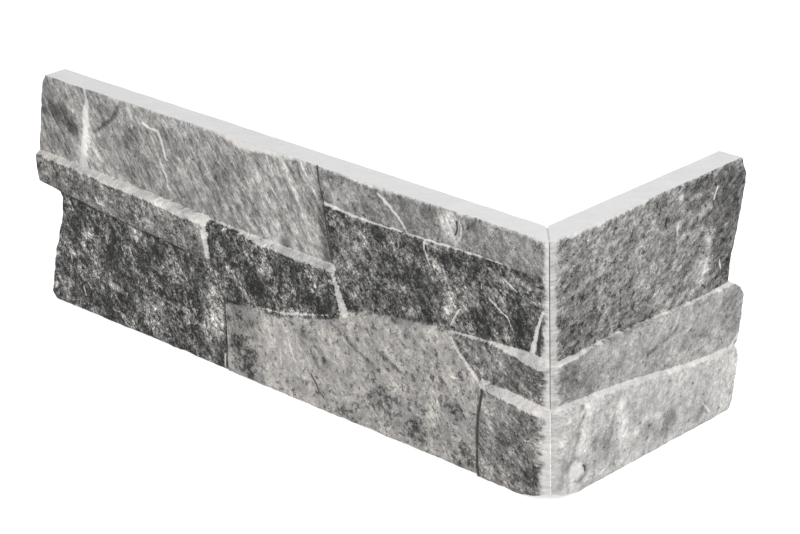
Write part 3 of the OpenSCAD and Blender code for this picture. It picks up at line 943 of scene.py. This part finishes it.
    def patches(self) -> tuple[Patch, ...]:
        """Where the stones change tone or turn speckled."""
        return (
            # Speckled head
            Patch((14, 100), (9, 34), -0.06, 0, 0.08), Patch((40, 118), (24, 20), 0.0, 0, 0.05),
            Patch((93, 108), (18, 18), 0.01, -0.1, -0.2), Patch((124, 146), (10, 6), -0.12),
            Patch((148, 130), (17, 18), -0.13, 0, -0.1), Patch((120, 138), (10, 8), -0.08),
            Patch((146, 96), (12, 14), -0.15, 0, -0.1), Patch((132, 120), (9, 6), -0.06),
            Patch((124, 95), (7, 9), 0.05), Patch((112, 84), (12, 4), 0.06), Patch((72, 142), (16, 6), 0.04),
            Patch((54, 104), (13, 10), 0.03, 0, 0.1), Patch((30, 92), (20, 9), -0.06, 0, 0.15), Patch((66, 84), (22, 5), -0.05, 0, 0.1),
            # Middle band
            Patch((15, 68), (13, 10), -0.12), Patch((31, 62), (8, 9), -0.08), Patch((151, 62), (9, 12), -0.09),
            Patch((40, 68), (9, 8), -0.03), Patch((120, 56), (14, 6), -0.03), Patch((80, 70), (22, 7), 0.02),
            # Pale foot
            Patch((14, 38), (9, 8), -0.08), Patch((12, 24), (6, 8), -0.07), Patch((44, 24), (8, 13), -0.08),
            Patch((95, 12), (9, 7), -0.13), Patch((80, 15), (6, 5), -0.1), Patch((128, 8), (7, 5), -0.08),
            Patch((23, 24), (7, 8), 0.05), Patch((68, 28), (8, 14), 0.0), Patch((33, 46), (5, 4), 0.06),
        )


class Signal:
    """A shader socket in a sum. Arithmetic on signals and numbers adds Math nodes."""

    def __init__(self, graph: "Graph", socket: bpy.types.NodeSocket) -> None:
        """Wrap a socket of a graph."""
        self.graph = graph
        self.socket = socket

    def _math(self, operation: str, a: Any, b: Any = 0.0) -> "Signal":
        """Add one Math node."""
        return self.graph.add("ShaderNodeMath", {"operation": operation}, {0: a, 1: b})

    def __add__(self, other: Any) -> "Signal":
        """Sum."""
        return self._math("ADD", self, other)

    def __radd__(self, other: Any) -> "Signal":
        """Sum with a number first."""
        return self._math("ADD", other, self)

    def __sub__(self, other: Any) -> "Signal":
        """Difference."""
        return self._math("SUBTRACT", self, other)

    def __rsub__(self, other: Any) -> "Signal":
        """Difference with a number first."""
        return self._math("SUBTRACT", other, self)

    def __mul__(self, other: Any) -> "Signal":
        """Product."""
        return self._math("MULTIPLY", self, other)

    def __rmul__(self, other: Any) -> "Signal":
        """Product with a number first."""
        return self._math("MULTIPLY", other, self)

    def __pow__(self, other: Any) -> "Signal":
        """Power."""
        return self._math("POWER", self, other)

    def step(self, low: float, high: float) -> "Signal":
        """A smooth step from 0 at low to 1 at high."""
        return self.graph.add(
            "ShaderNodeMapRange", {"interpolation_type": "SMOOTHSTEP"}, {"Value": self, "From Min": low, "From Max": high}
        )

    def toward(self, other: Any, share: "Signal") -> "Signal":
        """Mix from this signal to another by a share."""
        return self * (1 - share) + share * other


class Graph:
    """The node tree of one material."""

    def __init__(self, name: str) -> None:
        """Start a material with an empty tree."""
        self.material = bpy.data.materials.new(name)
        self.material.use_nodes = True
        self.tree = self.material.node_tree
        self.tree.nodes.clear()

    def add(self, kind: str, settings: dict[str, Any], inputs: dict[Any, Any], output: Any = 0) -> Signal:
        """Add a node.

        Args:
            kind: The node's type.
            settings: What is set on the node first, such as a Math node's operation.
            inputs: Numbers, colours or signals by socket name or number.
            output: Name or number of the socket that is passed on.

        Returns:
            The chosen output as a signal.
        """
        node = self.tree.nodes.new(kind)
        for name, value in settings.items():
            setattr(node, name, value)
        for name, value in inputs.items():
            if isinstance(value, Signal):
                self.tree.links.new(value.socket, node.inputs[name])
            else:
                node.inputs[name].default_value = value
        return Signal(self, node.outputs[output])

    def field(self, name: str) -> Signal:
        """One of the fields that a leg's points carry."""
        return self.add("ShaderNodeAttribute", {"attribute_name": name}, {}, "Fac")

    def noise(self, vector: Signal, size: float, layers: int = 3, share: float = 0.6, spread: float = 1.0) -> Signal:
        """Noise around 0, whose layers each have cells half as wide and `share` times as strong as the last.

        One layer of Perlin noise strays by about 0.25, so the sum is divided by 0.25 times the root of the
        summed squares of the layers' strengths.

        Args:
            vector: Coordinates in metres.
            size: Width of its largest cells in millimetres.
            layers: How many layers it has.
            share: Strength of each layer against the last.
            spread: How far the noise strays from 0.

        Returns:
            The noise as a signal.
        """
        total = 0.25 * math.sqrt(sum(share ** (2 * k) for k in range(layers)))
        value = self.add(
            "ShaderNodeTexNoise", {"normalize": False},
            {"Vector": vector, "Scale": 1 / (size * MM), "Detail": layers - 1.0, "Roughness": share},
        )
        return value * (spread / total)

    def split(self, vector: Signal) -> tuple[Signal, Signal, Signal]:
        """The three coordinates of a vector."""
        node = self.add("ShaderNodeSeparateXYZ", {}, {"Vector": vector}).socket.node
        return tuple(Signal(self, node.outputs[axis]) for axis in "XYZ")

    def scaled(self, vector: Signal, factors: tuple[float, float, float]) -> Signal:
        """A vector with each coordinate multiplied by its factor."""
        return self.add("ShaderNodeVectorMath", {"operation": "MULTIPLY"}, {0: vector, 1: factors})

    def mix(self, low: Any, high: Any, share: Any) -> Signal:
        """Mix two colours, given as three numbers or a signal, by a share."""
        ends = {"A": low, "B": high}
        inputs = {name: end if isinstance(end, Signal) else (*end, 1.0) for name, end in ends.items()}
        node = self.add("ShaderNodeMix", {"data_type": "RGBA"}, {"Factor": share}, 2).socket.node
        for name, end in inputs.items():
            socket = next(i for i in node.inputs if i.name == name and i.type == "RGBA")
            if isinstance(end, Signal):
                self.tree.links.new(end.socket, socket)
            else:
                socket.default_value = end
        return Signal(self, node.outputs[2])

    def turned(self, place: Signal, lean: float, stretch: float) -> Signal:
        """Coordinates across and down layers that lean on either wall.

        With s = y - x, which grows along both legs, they are s * cos - z * sin and s * sin + z * cos.

        Args:
            place: Coordinates in metres.
            lean: Degrees from upright that the layers lean away from the corner.
            stretch: Factor on the coordinate down the layers.

        Returns:
            The turned coordinates.
        """
        x, y, z = self.split(place)
        sine, cosine = math.sin(math.radians(lean)), math.cos(math.radians(lean))
        across = (y - x) * cosine - z * sine
        down = ((y - x) * sine + z * cosine) * stretch
        return self.add("ShaderNodeCombineXYZ", {}, {"X": across, "Y": down, "Z": (x + y) * 0.4})

    def warp(self, vector: Signal, size: float, shift: float) -> Signal:
        """Coordinates strayed by noise.

        Args:
            vector: Coordinates in metres.
            size: Width of the noise's cells in millimetres.
            shift: How far a place strays, in millimetres.

        Returns:
            The strayed coordinates.
        """
        colour = self.add(
            "ShaderNodeTexNoise", {"normalize": False}, {"Vector": vector, "Scale": 1 / (size * MM), "Detail": 1.0}, "Color"
        )
        stray = self.add("ShaderNodeVectorMath", {"operation": "SCALE"}, {0: colour, "Scale": shift * MM})
        return self.add("ShaderNodeVectorMath", {"operation": "ADD"}, {0: vector, 1: stray})

    def cells(self, vector: Signal, size: float) -> Signal:
        """A random number from 0 to 1 for each crystal-like cell.

        Args:
            vector: Coordinates in metres.
            size: Width of a cell in millimetres.

        Returns:
            The number as a signal.
        """
        colour = self.add("ShaderNodeTexVoronoi", {}, {"Vector": vector, "Scale": 1 / (size * MM)}, "Color")
        return self.split(colour)[0]

    def finish(self, shader: Signal) -> bpy.types.Material:
        """Connect the surface and hand over the material."""
        node = self.tree.nodes.new("ShaderNodeOutputMaterial")
        self.tree.links.new(shader.socket, node.inputs["Surface"])
        return self.material


@dataclass(frozen=True)
class StoneFinish:
    """The printed and glazed stone face over its pale ceramic body, with painted highlights on ledges and painted
    shadow lines.

    Attributes:
        name: Name of the material.
        lean: Degrees from upright that the layers lean away from the corner.
        cross: The same for the other direction of layers.
        sawn: Brightness of the ground corner.
        brushed: Contrast of the grinding lines on it.
        cool: Tint of the cool grey stones.
        warm: Tint of the warm ones.
        pale: Brightness of veins and of the ledges' pale bands, which are rubbed body and also painted highlight.
        bare: Brightness of the ceramic body.
        rim: Brightness of the body where it shows on the face.
    """

    name: str
    lean: float
    cross: float
    sawn: float
    brushed: float
    cool: tuple[float, float, float] = (1.02, 1.0, 0.975)
    warm: tuple[float, float, float] = (1.06, 1.0, 0.93)
    pale: float = 0.76
    bare: float = 0.785
    rim: float = 0.73

    def material(self) -> bpy.types.Material:
        """Build the material.

        Brightness is added up as the eye reads it: tone plus grain, clouds and streaks, then specks, cracks with
        painted shadow lines, rubbed pale edges with painted highlights on ledges, and bare body over it, and it is
        raised to the power 2.2 for the light.

        Returns:
            The material.
        """
        g = Graph(self.name)
        place = g.add("ShaderNodeTexCoord", {}, {}, "Object")
        slanted = g.turned(place, self.lean, 0.75)
        grain = g.noise(slanted, 5.0, 4, 1.0)
        cloud = g.noise(slanted, 18.0, 3, 0.8)
        streak = g.noise(g.turned(place, self.lean, 0.07), 3.6, 4, 0.9)
        cross = g.noise(g.turned(place, self.cross, 0.1), 3.2, 4, 0.9)
        layers = g.field("streak") * streak + g.field("cross") * cross
        flake = (g.cells(g.warp(slanted, 1.2, 1.4), 1.3) - 0.5) * 3.4
        speck = g.noise(slanted, 1.6, 2, 0.8)
        pepper = g.noise(g.warp(place, 1.5, 0.8), 3.8, 3, 0.75)
        detail = g.field("fine") * grain + g.field("flake") * flake
        swell = (cloud * g.field("blotch") * 4 + 1).step(-1.0, 3.0) * 2
        tone = g.field("tone") + g.field("blotch") * cloud + layers + detail * swell
        spots = (speck + g.field("spark") * 2.4).step(2.0, 3.0)
        holes = (pepper + g.field("pepper") * 2.4).step(1.6, 3.1)
        tone = tone + spots * 0.17 - holes * 0.2
        edge = grain * 0.045
        # Dark lines: cracks and joints, and painted shadow under overhangs, beside prouder stones and in the open seam
        crack_and_shadow = (g.field("dark") + edge).step(0.32, 0.68)
        # Pale lines: veins, and ledges and stone ends rubbed pale and also painted light as highlight where they face
        # the light
        wear_and_highlight = (g.field("pale") + edge * 0.9).step(0.33, 0.55)
        rim = (g.field("rim") + edge * 1.5).step(0.15, 0.75)
        sawn = (g.field("saw") + edge).step(0.2, 0.8)
        body = (g.field("body") + edge * 0.5).step(0.2, 0.5)
        lines = g.noise(g.scaled(place, (0.15, 0.15, 1.0)), 1.6, 3, 0.9)
        tone = tone.toward(0.17, crack_and_shadow * 0.85)
        tone = tone.toward(self.pale + grain * 0.015 + cloud * 0.025, wear_and_highlight * (g.field("pale") * 0.5 + 0.45))
        tone = tone.toward(self.sawn + lines * self.brushed + grain * 0.01, sawn * 0.94)
        tone = tone.toward(self.rim + grain * 0.012, rim)
        tone = tone.toward(self.bare + grain * 0.004 + cloud * 0.004, body)
        light = g.add("ShaderNodeMath", {"operation": "MAXIMUM"}, {0: tone, 1: 0.09}) ** 2.2
        tint = g.mix(self.cool, self.warm, (g.field("warm") + cloud * 0.12).step(0, 1))
        tint = g.mix((1.0, 1.0, 1.0), tint, 1 - body)
        colour = g.add("ShaderNodeVectorMath", {"operation": "SCALE"}, {0: tint, "Scale": light})
        stone = (1 - wear_and_highlight) * (1 - body) * (1 - sawn) * (1 - rim)
        height = grain * 0.25 * (1 - sawn * 0.7) * (1 - wear_and_highlight * 0.8) + stone * (layers * 3 + flake * g.field("flake") * 3 - holes * 0.4)
        normal = g.add("ShaderNodeBump", {}, {"Strength": 0.6, "Distance": 0.3 * MM, "Height": height}, "Normal")
        skin = g.add(
            "ShaderNodeBsdfPrincipled", {},
            {"Base Color": colour, "Roughness": 0.68 + body * 0.15 + grain * 0.03, "Specular IOR Level": 0.22, "Normal": normal},
        )
        return g.finish(skin)


@dataclass(frozen=True)
class BondFinish:
    """The set adhesive in the mitre: painted dark as shade where the seam is open, greyer near its ends, pale where
    filled.

    Attributes:
        gap_shade_tone: Brightness in the open seam.
        seam_end_tone: Brightness near the ends of the open seam.
        filled_tone: Brightness where the seam is filled.
        turns: Heights at which one gives way to the next.
    """

    gap_shade_tone: float = 0.42
    seam_end_tone: float = 0.64
    filled_tone: float = 0.8
    turns: tuple[float, float, float] = (56.0, 79.0, 142.0)

    def material(self) -> bpy.types.Material:
        """Build the material.

        Returns:
            The material.
        """
        g = Graph("mitre_adhesive")
        place = g.add("ShaderNodeTexCoord", {}, {}, "Object")
        grit = g.noise(place, 1.5, 3, 0.7)
        height = g.split(place)[2] + grit * MM
        above = [height.step((turn - 2) * MM, (turn + 2) * MM) for turn in self.turns]
        # Pale where filled, grey above the first height, and painted dark between the second and third as the shade of
        # the open seam
        tone = self.filled_tone + above[0] * (self.seam_end_tone - self.filled_tone)
        tone = tone + (above[1] - above[2]) * (self.gap_shade_tone - self.seam_end_tone) + grit * 0.04
        tone = tone ** 2.2
        colour = g.add("ShaderNodeVectorMath", {"operation": "SCALE"}, {0: (1.0, 0.99, 0.97), "Scale": tone})
        normal = g.add("ShaderNodeBump", {}, {"Strength": 0.5, "Distance": 0.2 * MM, "Height": grit}, "Normal")
        skin = g.add(
            "ShaderNodeBsdfPrincipled", {},
            {"Base Color": colour, "Roughness": 0.8 + grit * 0.05, "Normal": normal},
        )
        return g.finish(skin)


@dataclass
class MitreBond:
    """The adhesive line in the mitre, which keeps its solid's shape.

    Attributes:
        node: Its CAD node.
        finish: Its finish.
    """

    node: str = "mitre_bond"
    finish: BondFinish = BondFinish()

    def build(self) -> bpy.types.Object:
        """Dress the CAD node.

        Returns:
            The node's object.
        """
        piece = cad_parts[self.node]
        piece.data.materials.clear()
        piece.data.materials.append(self.finish.material())
        log.info("%s: dressed", self.node)
        return piece


@dataclass
class Studio:
    """Camera, floor and lights.

    Attributes:
        eye: Camera's place in millimetres.
        azimuth: Direction of the camera round the piece, in degrees.
        elevation: Its height angle, in degrees.
        roll: Its turn about its own axis, in degrees.
        lens: Focal length for a 36 mm sensor.
        dome: Brightness of the surroundings.
        key: Power of the main softbox.
        fill: Power of the weaker one.
        floor_tone: Reflectance of the floor.
        glow: Brightness that the floor has of its own, as a lit table has.
    """

    eye: tuple[float, float, float] = (811.93, -923.295, 654.513)
    azimuth: float = 44.86
    elevation: float = 23.16
    roll: float = -1.676
    lens: float = 116.6
    dome: float = 0.85
    key: float = 18.0
    fill: float = 3.0
    floor_tone: float = 0.93
    glow: float = 0.3

    def camera(self) -> bpy.types.Object:
        """Set up the camera at the photograph's viewing angle.

        Returns:
            The camera.
        """
        a, e, r = (math.radians(x) for x in (self.azimuth, self.elevation, self.roll))
        back = Vector((math.sin(a) * math.cos(e), -math.cos(a) * math.cos(e), math.sin(e)))
        right = Vector((math.cos(a), math.sin(a), 0))
        up = back.cross(right)
        turned_right = right * math.cos(r) + up * math.sin(r)
        turned_up = up * math.cos(r) - right * math.sin(r)
        data = bpy.data.cameras.new("camera")
        data.lens, data.sensor_width = self.lens, 36
        data.clip_start, data.clip_end = 0.05, 50
        camera = bpy.data.objects.new("camera", data)
        turn = Matrix((turned_right, turned_up, back)).transposed()
        camera.matrix_world = Matrix.Translation(Vector(self.eye) * MM) @ turn.to_4x4()
        bpy.context.scene.collection.objects.link(camera)
        bpy.context.scene.camera = camera
        return camera

    def softbox(self, name: str, place: tuple[float, float, float], size: float, power: float) -> bpy.types.Object:
        """Add a square softbox that looks at the piece.

        Args:
            name: Its name.
            place: Its place in metres.
            size: Its width in metres.
            power: Its power in watts.

        Returns:
            The light.
        """
        data = bpy.data.lights.new(name, "AREA")
        data.size, data.energy = size, power
        light = bpy.data.objects.new(name, data)
        light.location = place
        aim = Vector((-0.1, 0.0, 0.07)) - light.location
        light.rotation_euler = aim.to_track_quat("-Z", "Y").to_euler()
        bpy.context.scene.collection.objects.link(light)
        return light

    def floor(self) -> bpy.types.Object:
        """Lay the plain pale floor, a shallow dish whose rim rises as (r / 4) ** 4 far from the piece.

        Returns:
            The floor.
        """
        radii, turns = np.linspace(0.02, 5, 40), np.linspace(0, 2 * np.pi, 65)[:-1]
        r, t = np.meshgrid(radii, turns, indexing="ij")
        points = np.stack([r * np.cos(t), r * np.sin(t), (r / 4) ** 4 - 0.0002], -1).reshape(-1, 3)
        number = np.arange(40 * 64).reshape(40, 64)
        turned = np.roll(number, -1, 1)
        quads = np.stack([number[:-1], number[1:], turned[1:], turned[:-1]], -1).reshape(-1, 4)
        mesh = bpy.data.meshes.new("studio_floor")
        mesh.from_pydata(points.tolist(), [], [*quads.tolist(), number[0].tolist()])
        mesh.shade_smooth()
        g = Graph("pale_floor")
        place = g.add("ShaderNodeTexCoord", {}, {}, "Object")
        tone = self.floor_tone + g.noise(place, 60.0) * 0.001
        colour = g.add("ShaderNodeVectorMath", {"operation": "SCALE"}, {0: (1.0, 1.0, 1.0), "Scale": tone})
        inputs = {"Base Color": colour, "Roughness": 0.9, "Emission Color": (1, 1, 1, 1), "Emission Strength": self.glow}
        mesh.materials.append(g.finish(g.add("ShaderNodeBsdfPrincipled", {}, inputs)))
        floor = bpy.data.objects.new("studio_floor", mesh)
        bpy.context.scene.collection.objects.link(floor)
        return floor

    def build(self) -> None:
        """Set up the whole studio."""
        scene = bpy.context.scene
        scene.view_settings.view_transform = "Standard"
        world = bpy.data.worlds.new("studio")
        world.use_nodes = True
        world.node_tree.nodes["Background"].inputs["Color"].default_value = (1.0, 1.0, 1.0, 1.0)
        world.node_tree.nodes["Background"].inputs["Strength"].default_value = self.dome
        scene.world = world
        self.camera()
        self.floor()
        self.softbox("key_softbox", (1.1, -0.7, 1.5), 0.9, self.key)
        self.softbox("fill_softbox", (-1.2, -1.6, 0.9), 1.4, self.fill)
        log.info("studio set up")


def main() -> None:
    """Build the pieces in order, then the studio."""
    logging.basicConfig(level=logging.INFO, format="%(message)s")
    for leg, sawn, brushed in ((LongLeg(), 0.7, 0.018), (ShortLeg(), 0.63, 0.03)):
        leg.build(StoneFinish(f"stone_of_{leg.node}", leg.lean, leg.cross, sawn, brushed).material())
    MitreBond().build()
    Studio().build()


if __name__ == "__main__":
    main()
